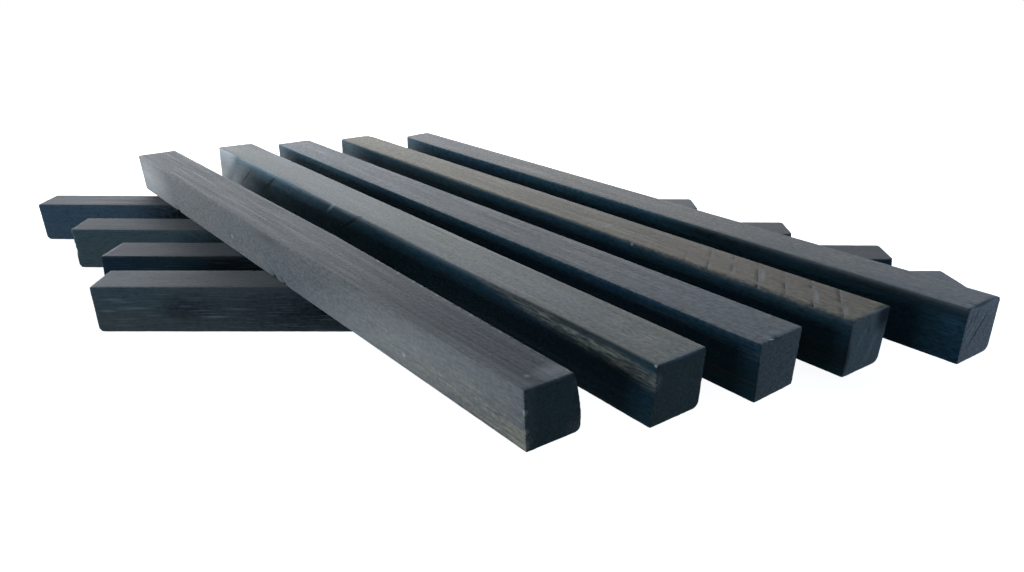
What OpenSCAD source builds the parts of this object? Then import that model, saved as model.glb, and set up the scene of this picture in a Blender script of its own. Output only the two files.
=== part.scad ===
// A set of square drawing charcoal sticks. Four lower sticks lie side by side on the table
// and five upper sticks lie slantwise across them. Every stick is loose.

/* [Stick] */
// Length of a stick, from sawn end to sawn end
stick_l = 150; // [90:1:240]
// Width of a stick, across its side faces
stick_w = 8.4; // [5:0.1:14]
// Height of a stick, from its underside to its top
stick_h = 8.4; // [5:0.1:14]
// Radius of the worn long edges
edge_r = 0.3; // [0.2:0.05:1.2]
// Radius of the worn edges round a sawn end
end_r = 0.2; // [0.1:0.05:0.8]

/* [Lower layer] */
// Clear gaps between lower sticks, from the front one to the back one
lower_gaps = [6.9, 7.7, 10.6]; // [1:0.1:14]
// How far each lower stick is pushed to the right, from the front one to the back one
lower_shift = [15.4, 9.8, -4.4, -20.7]; // [-30:0.1:30]
// Turn of each lower stick on the table in degrees, from the front one to the back one
lower_turn = [-0.3, -1, -1.5, -1.7]; // [-2:0.1:2]

/* [Upper layer] */
// Angle in degrees from the lower sticks to the upper sticks
cross_angle = 127.1; // [100:0.1:140]
// Clear gaps between upper sticks, from the left one to the right one
upper_gaps = [7.8, 5.4, 6.4, 6.9]; // [1:0.1:14]
// Place of the third upper stick: to the right of the middle of the lower layer, then behind it
upper_place = [1.3, -7.2]; // [-20:0.1:20]
// Clearance under the upper sticks, where they rest on the lower ones
rest_gap = 0.05; // [0.02:0.01:0.2]

/* [Hand finish] */
// Radius of the foot at the left end of some lower sticks
foot_r = 0.8; // [0.3:0.1:1.5]
// Radius of the edges that are rubbed round on some upper sticks
rubbed_r = 1.1; // [0.5:0.1:1.5]
// How far the split takes in the top of the first upper stick at its near end
split_in = 1.5; // [0.2:0.1:2.5]
// How far that split runs down the near end
split_down = 6; // [3:0.5:7]
// How far that split runs along the stick
split_l = 63; // [20:1:120]

/* [Hidden] */

// Each stick is cut by hand, so it comes out a little over or under its nominal size.
lower_over_l = [-0.1, -0.4, -0.3, 0.7];
upper_over_l = [-0.2, 1.3, 0.1, -0.5, -0.3];
upper_over_w = [0.1, 0.1, 0, 0, 0];
upper_over_h = [0, 0.1, 0, 0, 0];

// How far each upper stick is pushed towards its far end, and its turn in degrees.
upper_shift = [8.1, 4.1, 0, -3.3, -10.5];
upper_turn = [0.7, -0.4, -0.1, -0.2, 0];

// Lean in degrees of the left and right face of each upper stick. A foot that stands out is positive.
upper_lean = [[-5, -0.3], [1.2, -0.2], [-2.3, -0.8], [0.7, -3.6], [-0.2, -1.6]];

// Saw angles in degrees of the near and far end of each stick: across the plan, then up the end.
lower_saw = [[[-0.8, 2.4], [-4, -0.4]], [[2.6, -1.7], [3.2, -1.4]], [[-3.7, 3], [1.6, -0.5]],
             [[-0.8, 4], [-1.8, 3]]];
upper_saw = [[[1.4, 3], [-3, 0.2]], [[-0.2, 3], [2.6, 1.3]], [[-1.8, 2.5], [-0.2, 1.6]],
             [[1, 2], [0, -2.7]], [[1.8, 1], [-8.4, 1]]];

// Radii of the long edges: right foot, left foot, left top and right top.
worn = [edge_r, edge_r, edge_r, edge_r];
upper_edges = [worn, [rubbed_r, edge_r, edge_r, edge_r], worn,
               [rubbed_r, edge_r, rubbed_r, edge_r], [rubbed_r, edge_r, edge_r, rubbed_r]];
// Radius of the foot at the left end of each lower stick.
lower_foot_r = [foot_r, end_r, foot_r, foot_r];
// Radius of the upright edges at the far end of each upper stick.
upper_far_r = [end_r, end_r, end_r, rubbed_r, rubbed_r];

arc_steps = 5;
third = 2;
// Angle in degrees by which the space of a saw cut flares out.
flare = 12;
dark_charcoal = [0.13, 0.16, 0.18];
dusty_charcoal = [0.27, 0.28, 0.29];

// Half the width of a stick at the widest part of its section.
function half_span(w, h, lean) = w / 2 + h / 2 * max(abs(tan(lean[0])), abs(tan(lean[1])));

lower_l = [for (over = lower_over_l) stick_l + over];
lower_half = [for (over = lower_over_l) stick_w / 2];
lower_last = len(lower_l) - 1;
upper_l = [for (over = upper_over_l) stick_l + over];
upper_w = [for (over = upper_over_w) stick_w + over];
upper_h = [for (over = upper_over_h) stick_h + over];
upper_last = len(upper_l) - 1;
upper_half = [for (i = [0 : upper_last]) half_span(upper_w[i], upper_h[i], upper_lean[i])];

// Distance across a layer from the middle of its first stick to the middle of stick i.
function across(half, gaps, i) = i == 0 ? 0 : across(half, gaps, i - 1) + half[i - 1] + gaps[i - 1] + half[i];

// Middle of each stick, measured from the middle of the lower layer.
lower_at = [for (i = [0 : lower_last])
    [lower_shift[i], across(lower_half, lower_gaps, i) - across(lower_half, lower_gaps, lower_last) / 2]];
upper_at = [for (i = [0 : upper_last]) upper_place
    + (across(upper_half, upper_gaps, i) - across(upper_half, upper_gaps, third))
        * [sin(cross_angle), -cos(cross_angle)]
    + upper_shift[i] * [cos(cross_angle), sin(cross_angle)]];
upper_yaw = [for (turn = upper_turn) cross_angle + turn];

// Corners of a stick seen from above, those of its foot (level -1) and those of its top (level 1).
function corners_of(l, half, h, saw) = [for (level = [-1, 1]) for (end = [0, 1]) for (y = [-half, half])
    [(2 * end - 1) * (l + level * h * tan(saw[end][1])) / 2 + y * tan(saw[end][0]), y]];

// Middle of the space that the whole pile takes up, from the corners of all sticks.
function turned(p, yaw) = [p.x * cos(yaw) - p.y * sin(yaw), p.x * sin(yaw) + p.y * cos(yaw)];
corners = [
    for (i = [0 : lower_last]) for (p = corners_of(lower_l[i], lower_half[i], stick_h, lower_saw[i]))
        lower_at[i] + turned(p, lower_turn[i]),
    for (i = [0 : upper_last]) for (p = corners_of(upper_l[i], upper_half[i], upper_h[i], upper_saw[i]))
        upper_at[i] + turned(p, upper_yaw[i])];
xs = [for (p = corners) p.x];
ys = [for (p = corners) p.y];
pile_middle = [min(xs) + max(xs), min(ys) + max(ys)] / 2;

// Arc that rounds corner b of an outline, between its neighbours a and c.
function unit(v) = v / norm(v);
function rounded_corner(a, b, c, r) =
    let (u = unit(a - b), v = unit(c - b), half = acos(u * v) / 2,
         centre = b + unit(u + v) * r / sin(half),
         start = b + u * r / tan(half) - centre,
         first = atan2(start.y, start.x), sweep = 180 - 2 * half)
    [for (k = [0 : arc_steps]) let (t = first + sweep * k / arc_steps) centre + r * [cos(t), sin(t)]];

// An outline, listed anticlockwise, with each corner rounded to its own radius.
module rounded_outline(points, radii) {
    n = len(points);
    polygon([for (i = [0 : n - 1])
        each rounded_corner(points[(i + n - 1) % n], points[i], points[(i + 1) % n], radii[i])]);
}

// The space that a saw cut at X = 0 leaves, towards +X. Its rim is rounded, more so where the foot or the
// upright edges are rubbed. The rest of it flares out, so it stays clear of the stick.
module sawn_end(l, half, h, foot_r, upright_r) {
    deep = 2 * l;
    out = deep * tan(flare);
    intersection() {
        // side view
        rotate([90, 0, 0]) linear_extrude(4 * l, center = true) rounded_outline(
            [[0, -h / 2], [deep, -h / 2 - out], [deep, h / 2 + out], [0, h / 2]],
            [foot_r, end_r, end_r, end_r]);
        // plan
        linear_extrude(4 * l, center = true) rounded_outline(
            [[0, -half], [deep, -half - out], [deep, half + out], [0, half]],
            [upright_r, end_r, end_r, upright_r]);
    }
}

// One stick along X on Z = 0, its near end towards -X and its left face towards +Y.
// Its section runs through between two saw cuts.
module stick(l, w, h, saw, edges = worn, lean = [0, 0], far_r = end_r, near_foot_r = end_r) {
    half = half_span(w, h, lean);
    left = h / 2 * tan(lean[0]);
    right = h / 2 * tan(lean[1]);
    intersection() {
        rotate([90, 0, 90]) linear_extrude(2 * l, center = true) rounded_outline(
            [[-w / 2 - right, 0], [w / 2 + left, 0], [w / 2 - left, h], [-w / 2 + right, h]], edges);
        translate([-l / 2, 0, h / 2]) rotate([0, -saw[0][1], -saw[0][0]])
            sawn_end(l, half, h, near_foot_r, end_r);
        translate([l / 2, 0, h / 2]) rotate([0, saw[1][1], -saw[1][0]]) mirror([1, 0, 0])
            sawn_end(l, half, h, end_r, far_r);
    }
}

// What a split takes off a stick: the top of its right face, most of all at its near end.
module split_off(l, w, h) {
    slant = atan(split_in / split_l);
    translate([split_l - l / 2, -w / 2, h]) rotate([-atan(split_in * cos(slant) / split_down), 0, -slant])
        translate([0, -l, 0]) cube(2 * l, center = true);
}

// Sets a stick down in the pile.
module place(at, z, yaw) {
    translate([at.x - pile_middle.x, at.y - pile_middle.y, z]) rotate([0, 0, yaw]) children();
}

module lower_stick(i) {
    color(dark_charcoal) place(lower_at[i], 0, lower_turn[i])
        stick(lower_l[i], stick_w, stick_h, lower_saw[i], near_foot_r = lower_foot_r[i]);
}

module upper_stick(i) {
    color(dusty_charcoal) place(upper_at[i], stick_h + rest_gap, upper_yaw[i]) difference() {
        stick(upper_l[i], upper_w[i], upper_h[i], upper_saw[i],
              upper_edges[i], upper_lean[i], upper_far_r[i]);
        if (i == 0) split_off(upper_l[i], upper_w[i], upper_h[i]);
    }
}

for (i = [0 : lower_last]) lower_stick(i);
for (i = [0 : upper_last]) upper_stick(i);
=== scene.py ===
"""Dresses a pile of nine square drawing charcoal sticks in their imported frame.

Four lower sticks lie side by side on the table and five upper sticks lie slantwise across them. Each stick
is modelled from a cube to the corners of its own solid, worn along its edges, chipped, dusted and given its
own charred wood finish. A stick's own axes run along it from its near or left end, across it to its left or
back side, and up from its underside.
"""

import logging
import math
from dataclasses import dataclass, field, replace
from enum import Enum
from itertools import product
from typing import Any, Callable

import bmesh
import bpy
import numpy as np
from mathutils import Matrix, Vector


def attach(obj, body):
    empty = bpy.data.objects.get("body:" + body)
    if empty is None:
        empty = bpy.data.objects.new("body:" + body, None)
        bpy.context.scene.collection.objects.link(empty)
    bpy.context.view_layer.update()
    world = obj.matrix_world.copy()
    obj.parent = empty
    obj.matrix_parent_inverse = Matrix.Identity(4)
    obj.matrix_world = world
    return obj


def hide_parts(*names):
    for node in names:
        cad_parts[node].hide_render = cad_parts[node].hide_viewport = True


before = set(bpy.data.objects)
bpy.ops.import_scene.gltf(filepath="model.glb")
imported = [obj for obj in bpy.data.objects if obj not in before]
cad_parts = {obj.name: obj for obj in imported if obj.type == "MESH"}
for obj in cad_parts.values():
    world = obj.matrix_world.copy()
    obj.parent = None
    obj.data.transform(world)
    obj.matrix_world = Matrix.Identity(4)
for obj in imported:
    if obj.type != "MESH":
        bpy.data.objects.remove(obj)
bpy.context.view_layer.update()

log = logging.getLogger("charcoal_sticks")

MM = 0.001

MAPPING = "ShaderNodeMapping"
MATH = "ShaderNodeMath"
MIX = "ShaderNodeMix"
RANGE = "ShaderNodeMapRange"
ATTRIBUTE = "ShaderNodeAttribute"
# Sockets of a colour Mix node.
UNDER, OVER, MIXED = 6, 7, 2
# Levels between which nearly all of a noise lies.
SWING = {"From Min": 0.3, "From Max": 0.7}

Pair = tuple[float, float]
Triple = tuple[float, float, float]


class Part(Enum):
    """Kinds of mesh part that can be selected."""

    VERT = "verts"
    EDGE = "edges"
    FACE = "faces"


class Mark(Enum):
    """What a mark on a stick is."""

    # Some dust marks are painted light: pale patches where light falls on a side that the next stick shades,
    # or past its shadow.
    DUST = "pale dust rubbed on"
    HAZE = "thin blue film of dust"
    # Some soot marks are painted shade: dark bands and low parts of sides that the next stick shades, and
    # fronts under the crossing sticks.
    SOOT = "black crack or smear"
    STAIN = "violet grey, burned hotter"
    SCORCH = "brown grey, burned less"
    SAW = "lines left by the saw"
    CHIP = "dent in an edge"


# Short names for the lists of marks.
DUST, HAZE, SOOT, STAIN, SCORCH, SAW, CHIP = Mark


class Pattern(Enum):
    """Irregular patterns of the finish.

    Each has a number that keeps it apart from the others, a fineness in powers of two, and two levels of its
    noise that are spread out, or None where the noise is used as it is.
    """

    MOTTLE = (1, 3.0, None)
    FIBRE = (2, 2.0, None)
    STREAK = (3, 3.0, None)
    BLOOM = (4, 3.0, (0.36, 0.64))
    STAIN = (5, 3.0, (0.48, 0.7))
    SCORCH = (6, 2.0, (0.4, 0.64))
    SAW_BREAK = (7, 2.0, (0.42, 0.62))
    SAW_WANDER = (8, 2.0, (0.3, 0.7))
    PORE = (9, 1.0, (0.6, 0.7))
    SCRATCH = (10, 1.0, (0.58, 0.68))
    VEIN = (11, 2.0, (0.55, 0.68))


class Side(Enum):
    """Long faces of a stick, with the way each one faces across and up."""

    TOP = (0, 1)
    LEFT = (1, 0)
    RIGHT = (-1, 0)
    UNDER = (0, -1)


class Shown(Enum):
    """Rays that see the plain white background."""

    CAMERA = "Is Camera Ray"
    GLOSSY = "Is Glossy Ray"
    TRANSMISSION = "Is Transmission Ray"


def linear(hex_colour: str) -> tuple[float, float, float, float]:
    """Turns an sRGB hex colour to linear light.

    Args:
        hex_colour: Colour such as "#6a6c6f".

    Returns:
        Linear red, green, blue and an alpha of 1.
    """
    parts = [int(hex_colour[i : i + 2], 16) / 255 for i in (1, 3, 5)]
    red, green, blue = [p / 12.92 if p <= 0.04045 else ((p + 0.055) / 1.055) ** 2.4 for p in parts]
    return red, green, blue, 1.0


def add_node(
    tree: bpy.types.NodeTree, kind: str, feeds: dict[Any, Any], out: Any = 0, **settings: Any
) -> Any:
    """Adds a node with its settings, values and links.

    Args:
        tree: Node tree of a material or the world.
        kind: Blender's type name of the node.
        feeds: Value, or output socket to link, for each named or numbered input.
        out: Name or number of the output that is wanted, or None for a node that has no output.
        **settings: Properties of the node.

    Returns:
        The output socket.
    """
    node = tree.nodes.new(kind)
    for name, value in settings.items():
        setattr(node, name, value)
    for name, value in feeds.items():
        if isinstance(value, bpy.types.NodeSocket):
            tree.links.new(value, node.inputs[name])
        else:
            node.inputs[name].default_value = value
    return None if out is None else node.outputs[out]


def pick(part: Part, test: Callable[[Any], bool]) -> int:
    """Selects exactly those parts of the mesh in edit mode that pass a test.

    Args:
        part: Kind of part to select.
        test: Says whether a bmesh vertex, edge or face is wanted.

    Returns:
        How many were selected.
    """
    bpy.ops.mesh.select_mode(type=part.name)
    bpy.ops.mesh.select_all(action="DESELECT")
    mesh = bpy.context.edit_object.data
    shape = bmesh.from_edit_mesh(mesh)
    chosen = [item for item in getattr(shape, part.value) if test(item)]
    for item in chosen:
        item.select = True
    shape.select_flush_mode()
    bmesh.update_edit_mesh(mesh)
    return len(chosen)


def run_along(edge: bmesh.types.BMEdge) -> float:
    """Length of an edge along the stick."""
    return abs(edge.verts[0].co.x - edge.verts[1].co.x)


def step(values: np.ndarray, start: float, end: float) -> np.ndarray:
    """Rises smoothly from 0 at start to 1 at end, or falls where end is the smaller."""
    t = np.clip((values - start) / (end - start), 0, 1)
    return t * t * (3 - 2 * t)


@dataclass(frozen=True)
class StickForm:
    """Shape and place of one stick, read from its solid."""

    corners: dict[tuple[int, int, int], Vector]
    middle: Vector
    yaw: float

    # Least cosine for a flat that faces a way, most for an upright face, and least for a stick along X.
    FACING = 0.95
    UPRIGHT = 0.3
    SIDEWAYS = 0.9
    # Roughly the way from the near end to the far end of an upper stick.
    FAR_WAY = (0.3, 1.0, 0.0)

    @classmethod
    def of_node(cls, node: str) -> "StickForm":
        """Reads the eight sharp corners of a stick from the flats of its solid.

        Args:
            node: Name of the stick's solid in the frame.

        Returns:
            The corners in the stick's own axes, keyed by end, side and level as -1 or 1, and its place.
        """
        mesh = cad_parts[node].data
        normals = np.array([p.normal for p in mesh.polygons])
        areas = np.array([p.area for p in mesh.polygons])
        centres = np.array([p.center for p in mesh.polygons])

        def flat(direction: np.ndarray) -> tuple[np.ndarray, float]:
            """Finds the plane of the largest flat that faces a direction."""
            facing = np.flatnonzero(normals @ direction > cls.FACING)
            groups: dict[tuple[float, ...], list[int]] = {}
            for i in facing:
                groups.setdefault(tuple(np.round(normals[i], 3)), []).append(int(i))
            largest = max(groups.values(), key=lambda group: areas[group].sum())
            normal = np.average(normals[largest], axis=0, weights=areas[largest])
            normal = normal / np.linalg.norm(normal)
            return normal, float(np.average(centres[largest] @ normal, weights=areas[largest]))

        upright = np.abs(normals[:, 2]) < cls.UPRIGHT
        side = normals[np.argmax(np.where(upright, areas, 0))]
        along = np.array([side[1], -side[0], 0]) / np.hypot(side[0], side[1])
        if along @ cls.FAR_WAY < 0:
            along = -along
        if abs(along[0]) > cls.SIDEWAYS:
            along = along * np.sign(along[0])
        left = np.array([-along[1], along[0], 0])
        up = np.array([0.0, 0.0, 1.0])
        ways = (along, left, up)
        planes = {(axis, sign): flat(sign * way) for axis, way in enumerate(ways) for sign in (-1, 1)}
        found = {}
        for end, wall, level in product((-1, 1), repeat=3):
            tilts, depths = zip(planes[0, end], planes[1, wall], planes[2, level])
            found[end, wall, level] = np.linalg.solve(tilts, depths)
        middle = np.mean(list(found.values()), axis=0)
        middle[2] = found[-1, -1, -1][2]
        own_axes = np.stack(ways)
        corners = {key: Vector(own_axes @ (point - middle)) for key, point in found.items()}
        return cls(corners, Vector(middle), math.atan2(along[1], along[0]))

    @property
    def half_mm(self) -> float:
        """Half the length of the stick in millimetres."""
        return sum(corner.x for (end, _, _), corner in self.corners.items() if end > 0) / 4 / MM


@dataclass(frozen=True)
class Spot:
    """A mark at a place on a stick, in millimetres and degrees in the stick's own axes.

    The place along the stick is measured from its near or left end where it is positive, and from its far or
    right end where it is negative.
    """

    mark: Mark
    place: Triple
    reach: Triple
    strength: float = 1.0
    turns: Triple = (0.0, 0.0, 0.0)

    def centre(self, half: float) -> Vector:
        """Place of the mark from the middle of a stick that is twice half long."""
        along, across, up = self.place
        return Vector((along - half if along >= 0 else along + half, across, up))


@dataclass(frozen=True)
class Skin:
    """Node tree of one stick's finish, with the stick's own axes in millimetres and its marks."""

    tree: bpy.types.NodeTree
    own: bpy.types.NodeSocket
    seed: float
    half: float
    spots: tuple[Spot, ...]

    # How far apart in millimetres the patterns of two sticks lie, and two patterns of one stick.
    STICK_STEP = Vector((31, 0, 11))
    PATTERN_STEP = Vector((7, 17, -5))

    def add(self, kind: str, feeds: dict[Any, Any], out: Any = 0, **settings: Any) -> Any:
        """Adds a node to this finish and returns its output socket."""
        return add_node(self.tree, kind, feeds, out, **settings)

    def pattern(self, kind: Pattern, size: Pair, shares: Pair = (0.0, 1.0), turn: float = 0.0) -> Any:
        """Lays an irregular pattern over the stick.

        Args:
            kind: Which pattern it is.
            size: Size in millimetres of its features, along and across.
            shares: What the two levels of its noise become, where it is spread out.
            turn: Angle in degrees of its features to the stick, seen from above.

        Returns:
            Its value, or its noise, which is about 0.5 on average.
        """
        number, fineness, levels = kind.value
        place = self.add(
            MAPPING,
            {
                "Vector": self.own,
                "Location": self.seed * self.STICK_STEP + number * self.PATTERN_STEP,
                "Rotation": (0, 0, math.radians(turn)),
                "Scale": (size[0], size[1], size[1]),
            },
            vector_type="TEXTURE",
        )
        noise = self.add("ShaderNodeTexNoise", {"Vector": place, "Scale": 1.0, "Detail": fineness})
        if levels is None:
            return noise
        ends = ("From Min", "From Max", "To Min", "To Max")
        return self.add(RANGE, {"Value": noise} | dict(zip(ends, levels + shares)))

    def marked(self, mark: Mark) -> Any:
        """Adds up the spots of one kind.

        Args:
            mark: Kind of mark.

        Returns:
            A value from 0 to 1 or a little over, highest in the middle of each spot.
        """
        total: Any = 0.0
        for spot in self.spots:
            if spot.mark is mark:
                place = self.add(
                    MAPPING,
                    {
                        "Vector": self.own,
                        "Location": spot.centre(self.half),
                        "Rotation": [math.radians(turn) for turn in spot.turns],
                        "Scale": spot.reach,
                    },
                    vector_type="TEXTURE",
                )
                ball = self.add("ShaderNodeTexGradient", {"Vector": place}, "Fac", gradient_type="SPHERICAL")
                total = self.add(MATH, {0: ball, 1: spot.strength, 2: total}, operation="MULTIPLY_ADD")
        return total


@dataclass(frozen=True)
class CharcoalFinish:
    """Charcoal sawn square from charred willow, handled and dusty.

    The char is matt and black, and light comes back from it weakly and evenly. The blue in the colours of
    its bare faces and black marks is a painted tint of cool shade. Its rubbed faces carry a grey bloom of
    dust that shows the fine mottle, pores and lengthwise grain of the wood.
    """

    body: str = "#6a6d70"
    bloom: str = "#71767c"
    stain: str = "#585963"
    scorch: str = "#77756b"
    # The blue in the bare colours and in the char colour is a painted tint of cool shade.
    bare: str = "#22414b"
    bare_and_shade_blue: str = "#1e3c4e"
    # Colour of the sawn ends. Each upper stick has its own, which also holds painted light and shade.
    end: str = "#4a5256"
    raw: str = "#20333a"
    char: str = "#0d151b"
    dust: str = "#a3acb4"
    haze: str = "#648494"
    roughness: float = 0.7
    roughness_swing: float = 0.08
    ior: float = 1.5
    # Char is porous, so it mirrors far less than a solid of its index.
    specular: float = 0.05
    # How strongly each kind of detail shows.
    stained: float = 0.5
    grain: float = 0.04
    mottle: float = 0.2
    pores: float = 0.3
    scratched: float = 0.15
    streaked: float = 0.08
    edge_dust: float = 0.07
    soot_and_shade_mottle: float = 0.6
    # Sizes in millimetres along and across the grain. Fibres, pores and scratches are drawn about twice as
    # coarse as real ones, because finer ones don't show.
    bloom_mm: Pair = (34.0, 11.0)
    stain_mm: Pair = (22.0, 7.0)
    scorch_mm: Pair = (5.0, 0.5)
    streak_mm: Pair = (24.0, 0.5)
    fibre_mm: Pair = (3.0, 0.22)
    mottle_mm: Pair = (0.8, 0.42)
    pore_mm: Pair = (1.2, 0.25)
    scratch_mm: Pair = (2.4, 0.3)
    vein_mm: Pair = (7.0, 0.2)
    saw_break_mm: Pair = (5.0, 2.5)
    saw_wander_mm: Pair = (14.0, 9.0)
    scratch_turn: float = 35.0
    # Distance between the lines of the saw, their lean, the place of the first, and their sway as a share.
    saw_pitch_mm: float = 4.6
    saw_lean: float = 0.72
    saw_first_mm: float = 4.25
    saw_sway: float = 0.04
    # Depth of the relief, how strongly it shows, and how many times deeper a crack is.
    relief_mm: float = 0.04
    relief_shown: float = 0.5
    crack_depth: float = 1.5

    def make(self, stick: str, form: StickForm, seed: float, spots: tuple[Spot, ...]) -> bpy.types.Material:
        """Makes the finish for one stick, with its grain along that stick.

        Args:
            stick: Name of the stick.
            form: Shape and place of the stick.
            seed: Shift of the patterns, so that no two sticks look alike.
            spots: Marks on the stick.

        Returns:
            The material.
        """
        material = bpy.data.materials.new(f"sawn_willow_charcoal.{stick}")
        material.use_nodes = True
        tree = material.node_tree
        shader = tree.nodes["Principled BSDF"]
        shader.inputs["IOR"].default_value = self.ior
        shader.inputs["Specular IOR Level"].default_value = self.specular
        own = add_node(
            tree,
            MAPPING,
            {
                "Vector": add_node(tree, "ShaderNodeTexCoord", {}, "Object"),
                "Location": form.middle,
                "Rotation": (0, 0, form.yaw),
                "Scale": (MM, MM, MM),
            },
            vector_type="TEXTURE",
        )
        skin = Skin(tree, own, seed, form.half_mm, spots)
        mottle = skin.pattern(Pattern.MOTTLE, self.mottle_mm)
        fibre = skin.pattern(Pattern.FIBRE, self.fibre_mm)
        streak = skin.pattern(Pattern.STREAK, self.streak_mm)
        bare = skin.add(ATTRIBUTE, {}, "Fac", attribute_name="bare")

        colour = self.tint(skin, bare)
        for value, gain in ((mottle, self.mottle), (fibre, self.grain), (streak, self.grain)):
            light = SWING | {"Value": value, "To Min": 1 - gain, "To Max": 1 + gain}
            shade = {0: 1.0, UNDER: colour, OVER: skin.add(RANGE, light)}
            colour = skin.add(MIX, shade, MIXED, data_type="RGBA", blend_type="MULTIPLY")
        saw_line, saw_dust = self.saw_marks(skin, bare)
        dark = self.cracks(skin, mottle, saw_line)
        pale = self.dusting_and_painted_light(skin, mottle, fibre, bare, saw_dust)
        for share, over in ((dark, self.char), (pale, self.dust)):
            colour = skin.add(MIX, {0: share, UNDER: colour, OVER: linear(over)}, MIXED, data_type="RGBA")
        tree.links.new(colour, shader.inputs["Base Color"])

        low, high = self.roughness - self.roughness_swing, self.roughness + self.roughness_swing
        matt = SWING | {"Value": streak, "To Min": low, "To Max": high}
        tree.links.new(skin.add(RANGE, matt), shader.inputs["Roughness"])
        height = skin.add(MATH, {0: fibre, 1: mottle}, operation="ADD")
        height = skin.add(MATH, {0: dark, 1: -self.crack_depth, 2: height}, operation="MULTIPLY_ADD")
        relief = {"Height": height, "Distance": self.relief_mm * MM, "Strength": self.relief_shown}
        tree.links.new(skin.add("ShaderNodeBump", relief), shader.inputs["Normal"])
        return material

    def tint(self, skin: Skin, bare: Any) -> Any:
        """Lays the broad colours: bloom, stains, bare and hazy sides with a painted blue tint of shade, ends
        with painted light and shade, raw faces and brown patches.

        Args:
            skin: Finish that is being made.
            bare: How bare of dust the surface is.

        Returns:
            The colour.
        """
        bloom = skin.pattern(Pattern.BLOOM, self.bloom_mm)
        burn = skin.pattern(Pattern.STAIN, self.stain_mm, (0.0, self.stained))
        burn = skin.add(MATH, {0: burn, 1: skin.marked(STAIN)}, operation="MAXIMUM")
        brown = skin.pattern(Pattern.SCORCH, self.scorch_mm, shares=(0.2, 1.0))
        brown = skin.add(MATH, {0: brown, 1: skin.marked(SCORCH)}, operation="MULTIPLY")
        sawn_end = skin.add(ATTRIBUTE, {}, "Fac", attribute_name="sawn_end")
        raw = skin.add(ATTRIBUTE, {}, "Fac", attribute_name="raw")
        blue = skin.add(MATH, {0: bare, 1: bloom}, operation="MULTIPLY")
        colour: Any = linear(self.body)
        layers = (
            (bloom, self.bloom),
            (burn, self.stain),
            (bare, self.bare),
            (blue, self.bare_and_shade_blue),
            (skin.marked(HAZE), self.haze),
            (sawn_end, self.end),
            (raw, self.raw),
            (brown, self.scorch),
        )
        for share, over in layers:
            colour = skin.add(MIX, {0: share, UNDER: colour, OVER: linear(over)}, MIXED, data_type="RGBA")
        return colour

    def saw_marks(self, skin: Skin, bare: Any) -> tuple[Any, Any]:
        """Draws the slanted lines that the saw left, where a stick has them.

        Args:
            skin: Finish that is being made.
            bare: How bare of dust the surface is. The lines show in the dust alone.

        Returns:
            How dark each line is, and how pale the dust beside it.
        """
        where = skin.marked(SAW)
        if not isinstance(where, bpy.types.NodeSocket):
            return 0.0, 0.0
        broken = skin.pattern(Pattern.SAW_BREAK, self.saw_break_mm, shares=(0.05, 1.0))
        where = skin.add(MATH, {0: where, 1: bare}, operation="SUBTRACT")
        where = skin.add(MATH, {0: where, 1: broken}, operation="MULTIPLY", use_clamp=True)
        start = (skin.half - self.saw_first_mm) / self.saw_pitch_mm
        sway = (start - self.saw_sway, start + self.saw_sway)
        wander = skin.pattern(Pattern.SAW_WANDER, self.saw_wander_mm, sway)
        ruler = {0: skin.own, 1: (1 / self.saw_pitch_mm, self.saw_lean / self.saw_pitch_mm, 0)}
        count = skin.add("ShaderNodeVectorMath", ruler, "Value", operation="DOT_PRODUCT")
        count = skin.add(MATH, {0: count, 1: wander}, operation="ADD")
        count = skin.add(MATH, {0: count}, operation="FRACT")
        ranges = (
            {"From Min": 0.04, "From Max": 0.2, "To Min": 0.85, "To Max": 0.0},
            {"From Min": 0.85, "From Max": 0.99, "To Max": 0.25},
        )
        drawn = [skin.add(RANGE, {"Value": count} | ends) for ends in ranges]
        line, dust = [skin.add(MATH, {0: value, 1: where}, operation="MULTIPLY") for value in drawn]
        return line, dust

    def cracks(self, skin: Skin, mottle: Any, saw_line: Any) -> Any:
        """Draws open pores, fine scratches, cracks, the lines of the saw, and the painted shade of some soot
        marks.

        Args:
            skin: Finish that is being made.
            mottle: Fine pattern that breaks up their outlines.
            saw_line: How dark the lines of the saw are.

        Returns:
            How far the surface is black, from char and from painted shade.
        """
        pore = skin.pattern(Pattern.PORE, self.pore_mm, (0.0, self.pores))
        scratch = skin.pattern(Pattern.SCRATCH, self.scratch_mm, (0.0, self.scratched), self.scratch_turn)
        broken = {0: mottle, 1: self.soot_and_shade_mottle, 2: skin.marked(SOOT)}
        soot_and_shade = skin.add(MATH, broken, operation="MULTIPLY_ADD")
        soot_and_shade = skin.add(RANGE, {"Value": soot_and_shade, "From Min": 0.5, "From Max": 1.0})
        dark = saw_line
        for more in (pore, scratch, soot_and_shade):
            dark = skin.add(MATH, {0: dark, 1: more}, operation="MAXIMUM")
        return dark

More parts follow.
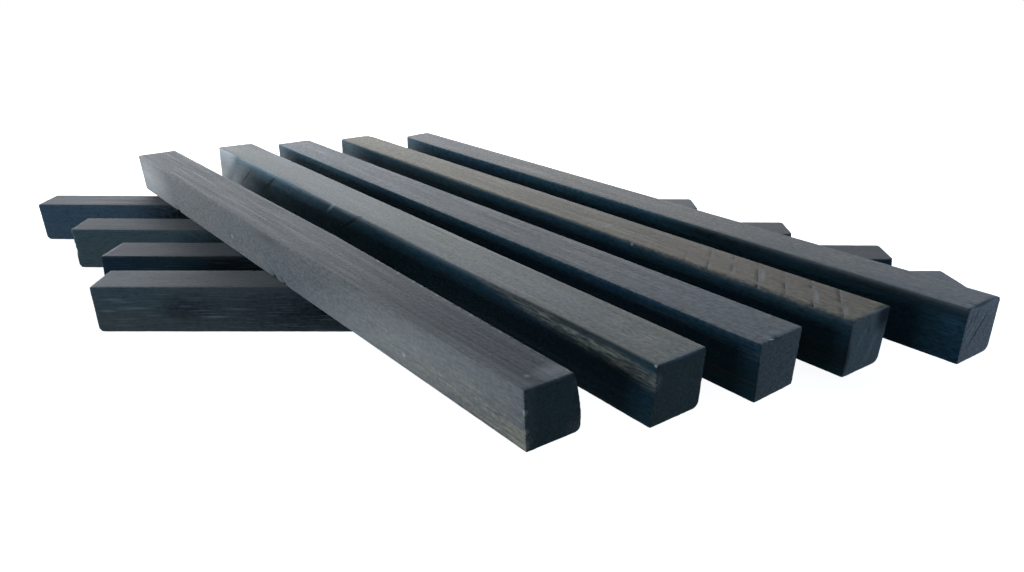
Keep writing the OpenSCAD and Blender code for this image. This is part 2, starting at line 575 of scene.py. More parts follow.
    def dusting_and_painted_light(self, skin: Skin, mottle: Any, fibre: Any, bare: Any, saw_dust: Any) -> Any:
        """Lays pale dust on worn edges, in rubbed patches and in the grain of bare faces, and painted light
        in some patches.

        Args:
            skin: Finish that is being made.
            mottle: Fine pattern that breaks up the dust.
            fibre: Grain that the dust lies in.
            bare: How bare of dust the surface is.
            saw_dust: Dust beside the lines of the saw.

        Returns:
            How far the surface is pale, from dust and from painted light.
        """
        worn = skin.add(ATTRIBUTE, {}, "Fac", attribute_name="wear")
        bits = {"Value": mottle, "From Min": 0.45, "From Max": 0.65, "To Max": self.edge_dust}
        worn = skin.add(MATH, {0: worn, 1: skin.add(RANGE, bits)}, operation="MULTIPLY")
        lie = {"Value": fibre, "From Min": 0.3, "From Max": 0.65, "To Min": 0.7, "To Max": 1.1}
        dust_and_light_patch = skin.add(MATH, {0: skin.add(RANGE, lie), 1: skin.marked(DUST)}, operation="MULTIPLY")
        vein = skin.pattern(Pattern.VEIN, self.vein_mm, (0.0, self.streaked))
        vein = skin.add(MATH, {0: vein, 1: bare}, operation="MULTIPLY")
        pale = saw_dust
        for more in (worn, dust_and_light_patch, vein):
            pale = skin.add(MATH, {0: pale, 1: more}, operation="MAXIMUM")
        return pale


@dataclass
class Stick:
    """One charcoal stick, modelled to the corners of its solid."""

    name: str
    slot: str
    seed: float
    finish: CharcoalFinish
    spots: tuple[Spot, ...] = ()
    # How bare of dust each long face is.
    bare: dict[Side, float] = field(
        default_factory=lambda: {Side.LEFT: 1.0, Side.RIGHT: 1.0, Side.UNDER: 1.0}
    )
    # Long faces that were never rubbed. The far end never was either.
    raw: tuple[Side, ...] = (Side.RIGHT, Side.UNDER)
    # Radii in millimetres of the long edges: right foot, left foot, left top and right top.
    edges: tuple[float, float, float, float] = (0.12, 0.12, 0.12, 0.12)
    # Radii of the rims of the ends, of the upright edges at the far end, and of the foot of the near end.
    end_radius: float = 0.1
    far_radius: float = 0.0
    foot_radius: float = 0.0
    # How far a split takes in the top of the right face at the near end, and how far along it runs.
    split_in: float = 0.0
    split_long: float = 63.0
    # Depths in millimetres of the wear, and distance between the rings that a stick is cut into.
    edge_wear: float = 0.03
    rim_wear: float = 0.05
    wave: float = 0.01
    chip: float = 0.8
    ring: float = 0.3

    # Side and level of each long edge, then counts of steps, cuts and weights.
    EDGE_KEYS = ((-1, -1), (1, -1), (1, 1), (-1, 1))
    EDGE_STEPS = 6
    RIM_STEPS = 3
    CROSS_CUTS = 14
    LEVELS = 32
    # In millimetres: nearness to a corner, most that an edge across runs along, and least width of a flat.
    NEAR = 0.01
    ACROSS = 2
    FLAT = 3
    # Share of the longest edge that makes an edge long, and most corners of a face that isn't an end.
    LONG = 0.8
    FEW = 8
    # Sizes in millimetres of the dents in faces, edges, rims and chips, and their detail and contrast.
    FACE_GRIT = 7
    EDGE_GRIT = 1.3
    RUB_GRIT = 9
    RIM_GRIT = 0.7
    CHIP_GRIT = 0.9
    GRIT_DETAIL = 3
    GRIT_CONTRAST = 1.6
    # Distances in millimetres between which rounding, wear and dust fade out.
    ROUND_FADE = (0, 6)
    EDGE_FADE = (0.1, 0.5)
    RIM_FADE = (0.05, 0.35)
    DUST_FADE = (0.1, 0.4)
    # Cosines between which a face comes to face a way, and the least sum of its shares.
    FACING = (0.5, 0.9)
    LEAST = 0.01

    def build(self) -> bpy.types.Object:
        """Models the stick, wears it and puts it in its place.

        Returns:
            The finished stick, which rides on its body and stands for its solid.
        """
        self.form = StickForm.of_node(self.name)
        self.block_out()
        self.round_edges()
        self.close_ends()
        self.cut_rings()
        bpy.ops.object.mode_set(mode="OBJECT")
        self.measure()
        self.wear()
        bpy.ops.object.transform_apply(location=True, rotation=True, scale=True)
        bpy.ops.object.shade_smooth()
        self.write_marks()
        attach(self.piece, self.name)
        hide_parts(self.name)
        return self.piece

    def dress(self) -> None:
        """Gives the stick its own finish."""
        self.piece.data.materials.clear()
        self.piece.data.materials.append(self.finish.make(self.name, self.form, self.seed, self.spots))

    def block_out(self) -> None:
        """Adds a cube and moves its corners to those of the solid."""
        bpy.ops.object.select_all(action="DESELECT")
        bpy.ops.mesh.primitive_cube_add(size=1)
        self.piece = bpy.context.object
        self.piece.name = f"charcoal_{self.name}"
        self.piece.data.name = self.piece.name
        bpy.ops.object.mode_set(mode="EDIT")
        for key, corner in self.form.corners.items():
            start = Vector(key) / 2
            pick(Part.VERT, lambda vert: vert.co == start)
            bpy.ops.transform.translate(value=corner - start)

    def round_edges(self) -> None:
        """Rounds the long edges, and cuts the flats between them lengthwise."""
        near = self.NEAR * MM
        for (wall, level), radius in zip(self.EDGE_KEYS, self.edges):
            ends = [self.form.corners[end, wall, level] for end in (-1, 1)]
            pick(
                Part.EDGE,
                lambda edge: all(min((vert.co - end).length for end in ends) < near for vert in edge.verts),
            )
            bpy.ops.mesh.bevel(
                offset=radius * MM, offset_type="OFFSET", segments=self.EDGE_STEPS, affect="EDGES"
            )
        pick(
            Part.EDGE,
            lambda edge: run_along(edge) < self.ACROSS * MM and edge.calc_length() > self.FLAT * MM,
        )
        bpy.ops.mesh.subdivide(number_cuts=self.CROSS_CUTS)

    def close_ends(self) -> None:
        """Rounds the rims of the sawn ends, and fills each end with a grid."""
        flat = self.FACING[1]
        pick(Part.FACE, lambda face: abs(face.normal.x) > flat)
        bpy.ops.mesh.region_to_loop()
        bpy.ops.mesh.bevel(
            offset=self.end_radius * MM, offset_type="OFFSET", segments=self.RIM_STEPS, affect="EDGES"
        )
        for end in (-1, 1):
            pick(Part.FACE, lambda face: face.normal.x * end > flat and len(face.verts) > self.FEW)
            bpy.ops.mesh.delete(type="ONLY_FACE")
            around = pick(Part.EDGE, lambda edge: edge.is_boundary and edge.verts[0].co.x * end > 0)
            bpy.ops.mesh.select_mode(type="VERT")
            bpy.ops.mesh.fill_grid(span=around // 4, offset=0)

    def cut_rings(self) -> None:
        """Cuts the length of the stick into rings."""
        rings = 2 * self.form.half_mm / self.ring
        first = round(math.sqrt(rings))
        for cuts in (first, round(rings / first)):
            shape = bmesh.from_edit_mesh(self.piece.data)
            longest = max(run_along(edge) for edge in shape.edges)
            pick(Part.EDGE, lambda edge: run_along(edge) > self.LONG * longest)
            bpy.ops.mesh.subdivide(number_cuts=cuts - 1)

    def measure(self) -> None:
        """Works out each vertex's distance in millimetres from long edges and ends, and its facing."""
        mesh = self.piece.data
        own = np.empty(len(mesh.vertices) * 3)
        mesh.vertices.foreach_get("co", own)
        self.own = own.reshape(-1, 3) / MM
        facing = np.empty(len(mesh.vertices) * 3)
        mesh.vertices.foreach_get("normal", facing)
        self.facing = facing.reshape(-1, 3)
        corner = {key: np.array(point) / MM for key, point in self.form.corners.items()}
        x, y, z = self.own.T
        half = self.form.half_mm
        along = np.clip((x + half) / (2 * half), 0, 1)
        lines = [
            corner[-1, wall, level] + along[:, None] * (corner[1, wall, level] - corner[-1, wall, level])
            for wall, level in self.EDGE_KEYS
        ]
        self.from_edge = np.min([np.hypot(y - line[:, 1], z - line[:, 2]) for line in lines], axis=0)

        def end_plane(end: int) -> np.ndarray:
            """Distance of each vertex from the plane of one sawn end."""
            low_left, low_right, top_left = corner[end, 1, -1], corner[end, -1, -1], corner[end, 1, 1]
            normal = np.cross(low_right - low_left, top_left - low_left)
            return np.abs((self.own - low_left) @ normal) / np.linalg.norm(normal)

        self.from_near = end_plane(-1)
        self.from_far = end_plane(1)
        self.from_end = np.minimum(self.from_near, self.from_far)
        wall_left = np.max([line[:, 1] for line in lines], axis=0)
        wall_right = np.min([line[:, 1] for line in lines], axis=0)
        self.height = corner[1, 1, 1][2]
        self.half_width = wall_left.mean()
        self.from_skin = np.min([wall_left - y, y - wall_right, z, self.height - z], axis=0)

    def chipped(self) -> np.ndarray:
        """Adds up the chips at each vertex, from 0 to 1."""
        total = np.zeros(len(self.own))
        for spot in self.spots:
            if spot.mark is CHIP:
                away = (self.own - np.array(spot.centre(self.form.half_mm))) / spot.reach
                total = total + spot.strength * np.exp(-(away**2).sum(axis=1))
        return np.clip(total, 0, 1)

    def group(self, name: str, weights: np.ndarray) -> str:
        """Writes weights into a vertex group.

        Args:
            name: Name of the group.
            weights: Weight of each vertex, from 0 to 1.

        Returns:
            The name of the group.
        """
        group = self.piece.vertex_groups.new(name=name)
        levels = np.round(weights * self.LEVELS).astype(int)
        for level in range(1, self.LEVELS + 1):
            members = np.flatnonzero(levels == level)
            if len(members):
                group.add(members.tolist(), level / self.LEVELS, "REPLACE")
        return group.name

    def push(
        self, name: str, weights: np.ndarray, depth: float, way: str = "NORMAL", grit: float = 0.0
    ) -> None:
        """Presses the surface in where the weights say, with a Displace modifier that is applied.

        Args:
            name: Name of the group and the modifier.
            weights: Weight of each vertex, from 0 to 1.
            depth: Depth in millimetres, against the way of the push.
            way: Axis of the push in the stick's own axes, or along the normals.
            grit: Size in millimetres of the dents, or 0 for an even push.
        """
        modifier = self.piece.modifiers.new(name, "DISPLACE")
        modifier.vertex_group = self.group(name, weights)
        modifier.mid_level = 0.0
        modifier.strength = -depth * MM
        modifier.direction = way
        if grit:
            texture = bpy.data.textures.new(f"{name}_{self.name}", "CLOUDS")
            texture.noise_scale = grit * MM
            texture.noise_depth = self.GRIT_DETAIL
            texture.contrast = self.GRIT_CONTRAST
            modifier.texture = texture
            modifier.texture_coords = "GLOBAL"
        bpy.ops.object.modifier_apply(modifier=modifier.name)

    def wear(self) -> None:
        """Puts the stick in its place, and wears its ends, edges, rims and faces."""
        self.piece.location = self.form.middle
        self.piece.rotation_euler = (0, 0, self.form.yaw)
        bpy.context.view_layer.update()
        _, y, z = self.own.T
        if self.far_radius:
            into = np.clip((np.abs(y) - self.half_width) / self.far_radius + 1, 0, 1)
            drop = (1 - np.sqrt(1 - into**2)) * (1 - step(self.from_far, *self.ROUND_FADE))
            self.push("far_upright_edges", drop, self.far_radius, "X")
        if self.foot_radius:
            into = np.clip(1 - z / self.foot_radius, 0, 1)
            drop = (1 - np.sqrt(1 - into**2)) * (1 - step(self.from_near, *self.ROUND_FADE))
            self.push("near_foot", drop, -self.foot_radius, "X")
        if self.split_in:
            rise = np.clip(z / self.height, 0, 1) ** 2 * np.clip(-y / self.half_width, 0, 1)
            runout = np.clip(1 - self.from_near / self.split_long, 0, 1)
            self.push("split_side", rise * runout, -self.split_in, "Y")
        near_edge = 1 - step(self.from_edge, *self.EDGE_FADE)
        near_end, near_skin = [1 - step(away, *self.RIM_FADE) for away in (self.from_end, self.from_skin)]
        self.push("face_wave", np.ones(len(self.own)), self.wave, grit=self.FACE_GRIT)
        self.push("edge_wear", near_edge, self.edge_wear, grit=self.EDGE_GRIT)
        self.push("edge_rub", near_edge, self.edge_wear, grit=self.RUB_GRIT)
        self.push("rim_wear", near_end * near_skin, self.rim_wear, grit=self.RIM_GRIT)
        self.push("chips", self.chipped(), self.chip, grit=self.CHIP_GRIT)

    def write_marks(self) -> None:
        """Writes the attributes that the finish reads."""
        rim = (1 - step(self.from_end, *self.EDGE_FADE)) * (1 - step(self.from_skin, *self.DUST_FADE))
        shares = {side: step(self.facing[:, 1:] @ side.value, *self.FACING) for side in Side}
        lengthwise = np.maximum(sum(shares.values()), self.LEAST)
        bare = sum(shares[side] * share for side, share in self.bare.items())
        raw = sum(shares[side] for side in self.raw)
        values = {
            "wear": np.maximum(1 - step(self.from_edge, *self.EDGE_FADE), rim),
            "sawn_end": step(-self.facing[:, 0], *self.FACING),
            "bare": bare / lengthwise,
            "raw": np.maximum(raw / lengthwise, step(self.facing[:, 0], *self.FACING)),
        }
        for name, value in values.items():
            layer = self.piece.data.attributes.new(name, "FLOAT", "POINT")
            layer.data.foreach_set("value", value.astype(np.float32))


@dataclass
class Layer:
    """A layer of the pile: loose sticks that lie side by side."""

    name: str
    sticks: tuple[Stick, ...]

    def build(self) -> None:
        """Models and dresses each stick of the layer."""
        for stick in self.sticks:
            piece = stick.build()
            stick.dress()
            log.info("%s: %s, %d faces", self.name, piece.name, len(piece.data.polygons))


@dataclass(frozen=True)
class Softbox:
    """A soft studio lamp, placed and sized in millimetres."""

    name: str
    place: Triple
    aim: Triple
    size: Pair
    watts: float
    colour: str = "#ffffff"

    def hang(self) -> None:
        """Hangs the lamp, which the camera doesn't see, and turns it to its aim."""
        lamp = bpy.data.lights.new(self.name, "AREA")
        lamp.shape = "RECTANGLE"
        lamp.size, lamp.size_y = [side * MM for side in self.size]
        lamp.energy = self.watts
        lamp.color = linear(self.colour)[:3]
        holder = bpy.data.objects.new(self.name, lamp)
        holder.location = Vector(self.place) * MM
        holder.rotation_euler = (Vector(self.aim) - Vector(self.place)).to_track_quat("-Z", "Y").to_euler()
        holder.visible_camera = False
        bpy.context.scene.collection.objects.link(holder)


@dataclass
class Studio:
    """Plain white floor, soft lamps and the camera."""

    lamps: tuple[Softbox, ...]
    floor_mm: float = 8000.0
    floor_gap_mm: float = 0.05
    floor_colour: str = "#ffffff"
    # White of the paper where the sticks' shadow falls, and far from the lamps, and how far out each lies.
    shadow_white: float = 0.93
    far_white: float = 1.0
    shadow_mm: float = 160.0
    far_mm: float = 420.0
    unseen_floor: str = "#1c2126"
    room: str = "#3f6f9c"
    room_strength: float = 0.01
    # The camera, in millimetres and degrees, and the photograph's frame in pixels.
    eye_mm: Triple = (15.72, -152.64, 59.97)
    pitch: float = 21.391
    roll: float = -0.105
    focal_px: float = 823.46
    frame_px: float = 1024.0
    sensor_mm: float = 36.0
    nearest_mm: float = 5.0

    def build(self) -> None:
        """Lays the floor, hangs the lamps, fills the room with light and sets up the camera."""
        self.lay_floor()
        self.light_room()
        for lamp in self.lamps:
            lamp.hang()
            log.info("studio: lamp %s", lamp.name)
        self.aim_camera()
        bpy.context.scene.view_settings.view_transform = "Standard"

    @staticmethod
    def background_rays(tree: bpy.types.NodeTree) -> Any:
        """Finds the rays that see the plain background.

        Args:
            tree: Node tree of the floor or the world.

        Returns:
            A socket that is 1 for those rays and 0 for the rest.
        """
        seen: Any = 0.0
        for ray in Shown:
            found = add_node(tree, "ShaderNodeLightPath", {}, ray.value)
            seen = add_node(tree, MATH, {0: seen, 1: found}, operation="MAXIMUM")
        return seen

    def lay_floor(self) -> None:
        """Lays a plain pale floor that keeps a faint shadow of the sticks."""
        bpy.ops.object.select_all(action="DESELECT")
        bpy.ops.mesh.primitive_plane_add(size=self.floor_mm * MM, location=(0, 0, -self.floor_gap_mm * MM))
        floor = bpy.context.object
        floor.name = "paper_floor"
        paper = bpy.data.materials.new("matt_white_paper")
        paper.use_nodes = True
        tree = paper.node_tree
        tree.nodes.clear()
        place = add_node(tree, "ShaderNodeTexCoord", {}, "Object")
        away = add_node(tree, "ShaderNodeVectorMath", {0: place}, "Value", operation="LENGTH")
        reach = {"From Min": self.shadow_mm * MM, "From Max": self.far_mm * MM}
        whites = {"To Min": self.shadow_white, "To Max": self.far_white}
        white = add_node(tree, RANGE, {"Value": away} | reach | whites)
        lit = add_node(tree, "ShaderNodeBsdfDiffuse", {"Color": linear(self.floor_colour)})
        glow = add_node(tree, "ShaderNodeEmission", {"Strength": white})
        seen = add_node(tree, "ShaderNodeAddShader", {0: lit, 1: glow})
        unseen = add_node(tree, "ShaderNodeBsdfDiffuse", {"Color": linear(self.unseen_floor)})
        either = add_node(tree, "ShaderNodeMixShader", {0: self.background_rays(tree), 1: unseen, 2: seen})
        add_node(tree, "ShaderNodeOutputMaterial", {"Surface": either}, None)
        floor.data.materials.append(paper)

    def light_room(self) -> None:
        """Fills the room with a weak cool light behind a white background."""
        world = bpy.data.worlds.new("studio_room")
        bpy.context.scene.world = world
        world.use_nodes = True
        tree = world.node_tree
        tree.nodes.clear()
        cool = {"Color": linear(self.room), "Strength": self.room_strength}
        fill = add_node(tree, "ShaderNodeBackground", cool)
        white = add_node(tree, "ShaderNodeBackground", {"Color": (1, 1, 1, 1), "Strength": 1.0})
        either = add_node(tree, "ShaderNodeMixShader", {0: self.background_rays(tree), 1: fill, 2: white})
        add_node(tree, "ShaderNodeOutputWorld", {"Surface": either}, None)

    def aim_camera(self) -> None:
        """Sets the camera where the photograph was taken from."""
        lens = bpy.data.cameras.new("camera")
        lens.sensor_fit = "HORIZONTAL"
        lens.sensor_width = self.sensor_mm
        lens.lens = self.focal_px / self.frame_px * self.sensor_mm
        lens.clip_start = self.nearest_mm * MM
        camera = bpy.data.objects.new("camera", lens)
        tip = Matrix.Rotation(math.radians(90 - self.pitch), 4, "X")
        camera.location = Vector(self.eye_mm) * MM
        camera.rotation_euler = (tip @ Matrix.Rotation(math.radians(self.roll), 4, "Z")).to_euler()
        bpy.context.scene.collection.objects.link(camera)
        bpy.context.scene.camera = camera


# Marks on each stick, where they show in the photograph. All the lower sticks have the same right tip.
RIGHT_TIP = Spot(STAIN, (-8, 0, 8.4), (24, 8, 2.5), 0.3)
SAW_TURN = (0, 0, 35.8)
STRIPE_TURN = (0, 31.5, 0)
CRACK_TURN = (-56, 0, 0)
LOWER_1_MARKS = (
    Spot(DUST, (3.6, -4.2, 6.1), (3, 1, 0.3), 0.5),
    Spot(DUST, (5.2, -4.2, 5.7), (2.4, 1, 0.25), 0.45),
    Spot(DUST, (2.3, -4.2, 4), (2, 1, 0.3), 0.5),
    Spot(DUST, (7.2, -4.2, 4.5), (4.2, 1, 0.28), 0.6),
    Spot(DUST, (15.9, -4.2, 4.9), (2.4, 1, 0.2), 0.4),
    Spot(DUST, (20.7, -4.2, 2.9), (3.4, 1, 0.22), 0.75),
    Spot(DUST, (25, -4.2, 4.3), (4.5, 1, 0.3), 0.35),
    Spot(SOOT, (15, -4.2, 4.5), (8, 1, 4.5), 0.35),
    # Painted shade: front face darker towards the upper stick that crosses above it.
    Spot(SOOT, (45, -4.2, 4), (40, 1, 9), 0.7),
    # Painted light: paler top near the upper stick that crosses above, against its shade.
    Spot(DUST, (26, 0, 8.4), (16, 6, 1), 0.08),
    RIGHT_TIP,
)
LOWER_2_MARKS = (
    Spot(DUST, (0.2, 0, 8.4), (0.8, 4.6, 0.6), 0.9),
    # Painted light: paler top near the upper stick that crosses above, against its shade.
    Spot(DUST, (22, 0, 8.4), (14, 6, 1), 0.14),
    # Painted shade: front face darker towards the upper stick that crosses above it.
    Spot(SOOT, (26, -4.2, 6), (16, 1, 9), 0.9),
    RIGHT_TIP,
)
LOWER_3_MARKS = (
    Spot(CHIP, (0, -4.2, 6.5), (0.6, 0.7, 0.8), 0.8),
    Spot(CHIP, (0, -4.2, 3.8), (0.6, 0.7, 0.9), 0.9),
    Spot(CHIP, (0, -4.2, 5.1), (0.5, 0.7, 0.6), 0.6),
    Spot(DUST, (0.1, -4.2, 8), (0.5, 0.5, 0.5), 0.9),
    Spot(DUST, (0.1, -4.2, 6.9), (0.4, 0.5, 0.5), 0.9),
    # Painted light: paler top near the upper stick that crosses above, against its shade.
    Spot(DUST, (21, 0, 8.4), (14, 6, 1), 0.12),
    # Painted shade: front face darker towards the upper stick that crosses above it.
    Spot(SOOT, (34, -4.2, 6), (20, 1, 9), 0.6),
    RIGHT_TIP,
)
# Painted shade: front face darker towards the upper stick that crosses above it.
LOWER_4_MARKS = (Spot(SOOT, (34, -4.2, 6), (20, 1, 9), 0.75), RIGHT_TIP)
UPPER_1_MARKS = (
    # Pale far end of the left face: partly dust, partly a painted pool of light.
    Spot(DUST, (-4.6, 4.25, 4.2), (20, 1, 8), 1, (-5, 0, 0)),
    Spot(DUST, (30, 4.2, 3), (56, 2, 7.5), 0.36, (0, 12.8, 0)),
    Spot(DUST, (3, 4.2, 4.5), (30, 2, 9), 0.08),
    Spot(DUST, (58, 0, 8.9), (45, 9, 2), 0.1),
    Spot(DUST, (84, 3.8, 8.7), (38, 1.4, 0.8), 0.14),
    Spot(DUST, (36, 4.25, 7), (18, 1.2, 3.2), 0.13),
    Spot(DUST, (90.1, 4.1, 2.9), (0.6, 0.6, 0.5), 0.9),
    Spot(DUST, (26.6, 4.1, 2.2), (0.6, 0.6, 0.5), 0.8),
    Spot(DUST, (1.6, -1, 8.4), (2.2, 3.2, 1), 0.72),
    Spot(DUST, (2.4, 2.2, 8.4), (0.5, 0.5, 0.5), 0.8),
    Spot(DUST, (0, 0, 8.4), (0.4, 5, 0.4), 0.6),
    Spot(DUST, (0.1, 4.3, 5.4), (0.35, 0.5, 0.5), 1.5),
    Spot(DUST, (0.1, 4.1, 2.8), (0.35, 0.5, 0.6), 1.5),
    Spot(DUST, (0.1, 3.9, 1), (0.4, 0.5, 0.7), 1.5),
    Spot(SOOT, (3.5, 2.6, 8.4), (9, 3, 0.8), 0.32),
    Spot(SOOT, (71, 4.5, 7.4), (16, 0.8, 2.2), 0.42),
    Spot(SCORCH, (3, 4, 1), (6, 1.2, 2.6), 1.3),
    Spot(SCORCH, (14, 4.1, 2), (34, 2, 5), 0.8),
    Spot(SCORCH, (0, -3.4, 0.9), (1, 2, 1.6), 0.8),
    Spot(STAIN, (16, 0, 8.8), (50, 9, 1.6), 1.15),
    Spot(STAIN, (-10, 0, 8.8), (32, 9, 1.6), 0.65),
    Spot(CHIP, (70.9, 3.9, 0.2), (0.9, 0.7, 0.7), 0.8),
    Spot(CHIP, (67, 3.9, 0.2), (0.9, 0.7, 0.7), 0.7),
    Spot(CHIP, (-25.2, 3.9, 0.2), (0.9, 0.7, 0.7), 0.7),
)
UPPER_2_MARKS = (
    # Pale far end of the left face, bounded by slanted lines: partly dust, partly painted light where the
    # shadow of the stick on its left ends.
    Spot(DUST, (-2.8, 4.9, 7), (30, 1, 8), 5, STRIPE_TURN),
    Spot(SCORCH, (66, 0, 9.6), (62, 7, 2.2), 1.1),
    Spot(DUST, (-35, 0, 8.9), (70, 9, 2), 0.3),
    Spot(DUST, (62, 0, 8.9), (50, 9, 2), 0.3),
    # Painted light, partly dust, in the same pale far end.
    Spot(DUST, (-12, 4.2, 3.3), (14, 1.4, 3.4), 0.65, STRIPE_TURN),
    # Painted light, partly dust: pale upper band of the left face, which the stick on its left shades.
    Spot(DUST, (-27, 4.2, 7), (20, 1.4, 5), 0.22),
    Spot(HAZE, (-30, 4.2, 6), (32, 1.4, 7.5), 1),
    # Painted light, partly dust: pale upper band of the left face, which the stick on its left shades.
    Spot(DUST, (-56, 4.2, 7.4), (24, 1.4, 3.5), 0.1),
    Spot(SOOT, (-18.2, 4.2, 4.3), (7, 1.2, 0.6), 1.3, STRIPE_TURN),
    Spot(SOOT, (-33, 4.2, 5.8), (6.5, 1.2, 0.6), 1.3, (0, 27.8, 0)),
    Spot(SOOT, (77.9, 4.2, 6.6), (7, 1.2, 0.5), 1.4, (0, 27.6, 0)),
    Spot(DUST, (86.5, 4.2, 7.5), (2.6, 1, 0.45), 0.8, (0, 30, 0)),
    # Pale brown streaks high on the left face: grain, and painted light where light reaches over the stick
    # on its left.
    Spot(SCORCH, (11, 4.2, 6.9), (32, 1.4, 1.6), 1.4, (0, -4, 0)),
    # Painted shade: darker band just under the top edge of the left face, in two spans.
    Spot(SOOT, (17, 4.25, 8.3), (40, 0.8, 1), 0.8),
    Spot(SOOT, (68, 4.25, 8.3), (24, 0.8, 1), 0.7),
    Spot(SCORCH, (5.8, -0.4, 8.5), (3, 2.4, 1), 0.8),
    Spot(SCORCH, (12, -0.8, 8.5), (2.8, 2, 1), 0.8),
    Spot(DUST, (0.1, 4.2, 8.4), (0.35, 0.3, 0.35), 1.5),
    Spot(DUST, (0, 0, 8.5), (0.45, 5, 0.5), 0.6),
)
UPPER_3_MARKS = (
    Spot(DUST, (-12, 0, 8.9), (45, 9, 2), 0.18),
    Spot(STAIN, (40, 0, 8.8), (32, 9, 1.6), 1),
    # Painted shade: lower part of the left face near the near end, where the stick on its left shades it.
    Spot(SOOT, (6, 4.2, 2.5), (20, 1.2, 3.5), 0.55),
    Spot(DUST, (0.6, 1.5, 8.4), (0.7, 1.6, 0.7), 0.7),
    Spot(SOOT, (0, 1.2, 8.4), (0.5, 0.7, 0.5), 1),
    Spot(CHIP, (0, 1.2, 8.4), (0.5, 0.6, 0.4), 0.6),
    Spot(DUST, (-3, 4.2, 5), (12, 1.2, 7), 0.12),
    Spot(HAZE, (-12, 4.2, 6), (30, 1.2, 7), 0.6),
    Spot(HAZE, (-34, 4.2, 8), (24, 1.2, 4), 0.3),
)
UPPER_4_MARKS = (
    Spot(SAW, (13, 0, 8.4), (26, 14, 4), 1.8),
    Spot(SCORCH, (18, 0, 8.9), (40, 9, 2), 0.9),
    Spot(DUST, (21.4, 1.7, 8.4), (0.4, 2.4, 0.5), 0.35, SAW_TURN),
    Spot(DUST, (17.6, -0.4, 8.4), (0.5, 3.4, 0.5), 0.55, SAW_TURN),
    Spot(DUST, (7.8, 0.6, 8.4), (0.45, 3.4, 0.5), 0.65, SAW_TURN),
    Spot(DUST, (2.6, 1.6, 8.4), (0.4, 2.6, 0.5), 0.4, SAW_TURN),
    Spot(SOOT, (0, -3.4, 7.6), (1.2, 3.4, 4.2), 1),
    Spot(SOOT, (0, 4, 5), (0.8, 1, 5), 0.4),
    # Painted shade: lower part of the left face near the near end, where the stick on its left shades it.
    Spot(SOOT, (10, 4.2, 2.5), (26, 1.2, 3.2), 0.75),
    Spot(DUST, (49.8, 0.2, 8.4), (0.4, 2.2, 0.5), 0.6),
    Spot(DUST, (40.4, 4.2, 8.1), (0.4, 0.4, 0.4), 1),
    Spot(DUST, (0, -1.2, 8.4), (0.3, 4.4, 0.35), 0.5),
    Spot(DUST, (0, -1.5, 3.2), (0.8, 0.8, 3), 0.25, (25, 0, 0)),
    Spot(DUST, (0, 1.2, 5.3), (0.8, 0.6, 2.4), 0.2, (30, 0, 0)),
    Spot(DUST, (-3, 4.2, 5), (14, 1.2, 7), 0.12),
    Spot(SAW, (-24, 0, 8.4), (22, 14, 4), 0.8),
)
UPPER_5_MARKS = (
    Spot(DUST, (16, 0, 8.9), (60, 9, 2), 0.32),
    Spot(STAIN, (-8, 0, 8.8), (36, 9, 1.6), 0.8),
    Spot(STAIN, (9, 2.4, 8.6), (14, 2.2, 1.2), 0.7),
    Spot(STAIN, (31, 0.6, 8.6), (9, 1.8, 1.2), 0.6),
    Spot(SCORCH, (19, -1.2, 8.6), (24, 1.9, 1.2), 0.9),
    Spot(SCORCH, (52, -1.6, 8.6), (26, 2.4, 1.2), 0.9),
    Spot(SOOT, (0.7, 2.1, 8.4), (1, 0.35, 0.5), 1.2),
    Spot(SOOT, (0, 0.6, 8.3), (0.5, 4.8, 0.5), 0.9),
    Spot(SOOT, (0, 0.6, 4.4), (0.6, 4.4, 0.3), 1.2, (-48, 0, 0)),
    Spot(SOOT, (0, 1.7, 7), (0.6, 2, 0.25), 1, (-66, 0, 0)),
    Spot(SOOT, (0, 3.1, 6.2), (0.6, 2.4, 0.3), 0.7, (-60, 0, 0)),
    Spot(SOOT, (0, -1.8, 4.6), (0.6, 2.6, 0.25), 0.7, CRACK_TURN),
    Spot(DUST, (0, -0.4, 6.4), (0.6, 2.4, 0.3), 0.3, CRACK_TURN),
    Spot(DUST, (0, 2.3, 4.4), (0.6, 2.8, 0.35), 0.25, CRACK_TURN),
    # Painted shade: darker band just under the top edge of the left face, in two spans.
    Spot(SOOT, (14, 4.25, 7.8), (46, 0.8, 2.4), 0.75),
    Spot(SOOT, (46, 4.25, 7.4), (20, 0.8, 2.6), 0.45),
    Spot(DUST, (-2, 4.2, 6), (10, 1.2, 6), 0.15),
)


def lower_layer() -> Layer:
    """Lists the four lower sticks, from the front one to the back one."""
    # The blue in the bare colours of the fronts is a painted tint of cool shade.
    grey = CharcoalFinish(
        body="#5c5f62", bloom="#5f6469", stain="#545459", bare="#3f5668", bare_and_shade_blue="#34506a",
        mottle=0.1, relief_mm=0.02,
    )
    front = replace(
        grey, body="#7e8183", bloom="#82868b", stain="#6e6e74", bare="#616869", bare_and_shade_blue="#55656e",
        streaked=0.3,
    )
    second = replace(grey, bare="#243a3d", bare_and_shade_blue="#1f3345")
    third = replace(grey, bare="#5e6a6c", bare_and_shade_blue="#54676e")
    back = replace(grey, body="#585b5e", bloom="#5b6066", bare="#5c6a78", bare_and_shade_blue="#506578")
    slot = "dark_charcoal"
    raw = (Side.LEFT, Side.UNDER)
    far, foot = 0.6, 0.8
    sticks = (
        Stick("lower_stick_1", slot, 1.0, front, LOWER_1_MARKS, raw=raw, foot_radius=foot),
        Stick("lower_stick_2", slot, 2.0, second, LOWER_2_MARKS, raw=raw, far_radius=far),
        Stick("lower_stick_3", slot, 3.0, third, LOWER_3_MARKS, raw=raw, far_radius=far, foot_radius=foot),
        Stick("lower_stick_4", slot, 4.0, back, LOWER_4_MARKS, raw=raw, far_radius=far, foot_radius=foot),
    )
    return Layer("lower layer", sticks)


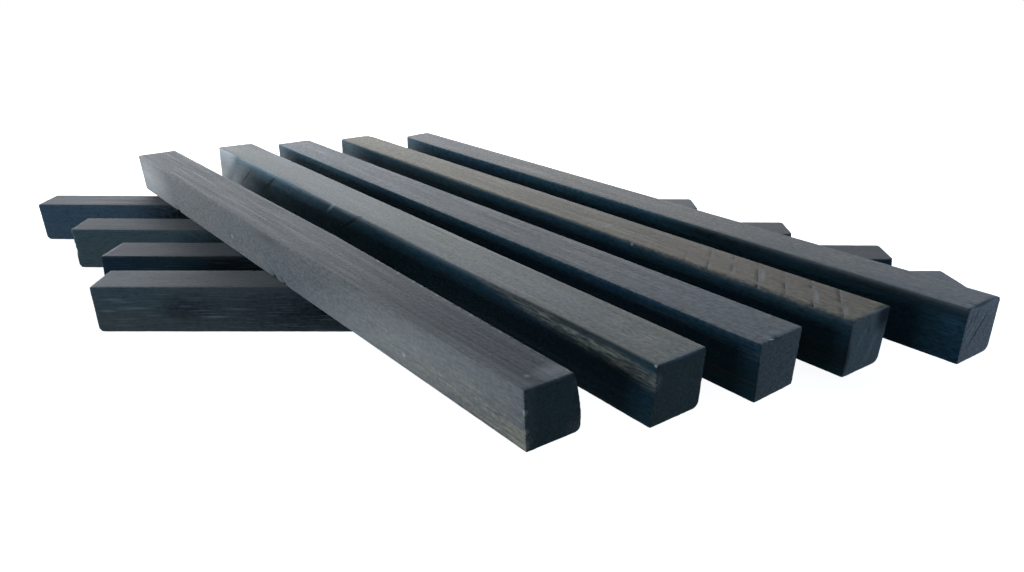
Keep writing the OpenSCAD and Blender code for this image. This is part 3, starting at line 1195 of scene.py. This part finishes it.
def upper_layer() -> Layer:
    """Lists the five upper sticks, from the left one to the right one."""
    # Painted light and shade: the end colours run from dark on the left stick to light on the right one,
    # following the fall of light from the lamp on the right.
    left = CharcoalFinish(
        body="#6a6d6e", bloom="#6e7375", stain="#454b54", scorch="#868376", bare="#55585c",
        bare_and_shade_blue="#525961", end="#3c4b4d", dust="#a5a7a9", mottle=0.34,
    )
    second = CharcoalFinish(
        body="#80817e", bloom="#878a8c", stain="#807f6d", scorch="#a6a296", end="#3a4749",
        mottle=0.3, scorch_mm=(2.6, 0.22),
    )
    third = CharcoalFinish(
        body="#6f7375", bloom="#73777c", stain="#65686b", end="#5c6164", mottle=0.33, scratched=0.3,
        scratch_mm=(2.5, 0.3), scratch_turn=84.0,
    )
    fourth = CharcoalFinish(
        body="#757064", bloom="#7b7669", stain="#66605b", scorch="#80706a", bare="#29464f",
        end="#5a6163", grain=0.14, mottle=0.29, scratched=0.05,
    )
    right = CharcoalFinish(
        body="#75726c", bloom="#797a7a", stain="#54555e", scorch="#8a7d74", bare="#2b4d5a",
        bare_and_shade_blue="#224056", end="#747375", stained=0.35, grain=0.15, mottle=0.38,
    )
    slot = "dusty_charcoal"
    far = 1.7
    dusty_left = {Side.LEFT: 0.6, Side.RIGHT: 1.0, Side.UNDER: 1.0}
    sticks = (
        Stick(
            "upper_stick_1", slot, 5.0, left, UPPER_1_MARKS, bare=dusty_left, edges=(0.9, 0.12, 0.12, 0.12),
            split_in=1.9, edge_wear=0.02,
        ),
        Stick("upper_stick_2", slot, 6.0, second, UPPER_2_MARKS, edges=(1.1, 0.12, 0.12, 0.12)),
        Stick("upper_stick_3", slot, 7.0, third, UPPER_3_MARKS, far_radius=0.7),
        Stick(
            "upper_stick_4", slot, 8.0, fourth, UPPER_4_MARKS, edges=(1.1, 0.12, 0.5, 0.12), far_radius=far
        ),
        Stick(
            "upper_stick_5", slot, 9.0, right, UPPER_5_MARKS, edges=(1.1, 0.12, 0.12, 0.9), far_radius=far
        ),
    )
    return Layer("upper layer", sticks)


def studio() -> Studio:
    """Lists the lamps: two long ones at the back, two panels on the left and a small one on the right."""
    lamps = (
        Softbox("back_softbox", (30, 410, 118), (0, 20, 8), (700, 100), 0.91, "#f6faff"),
        Softbox("near_back_softbox", (-80, 300, 95), (-20, 20, 8), (500, 80), 1.5, "#f6faff"),
        Softbox("left_back_panel", (-1080, 560, 34), (-20, 20, 8), (380, 44), 14.0, "#fbfbf9"),
        Softbox("left_front_panel", (-400, -240, 95), (0, -20, 8), (260, 150), 1.1, "#cfe2f0"),
        Softbox("right_panel", (150, -95, 62), (75, -45, 12), (50, 40), 0.051, "#b4dcff"),
    )
    return Studio(lamps)


def main() -> None:
    """Builds the studio and the pile."""
    logging.basicConfig(level=logging.INFO, format="%(message)s")
    studio().build()
    for layer in (lower_layer(), upper_layer()):
        layer.build()


if __name__ == "__main__":
    main()
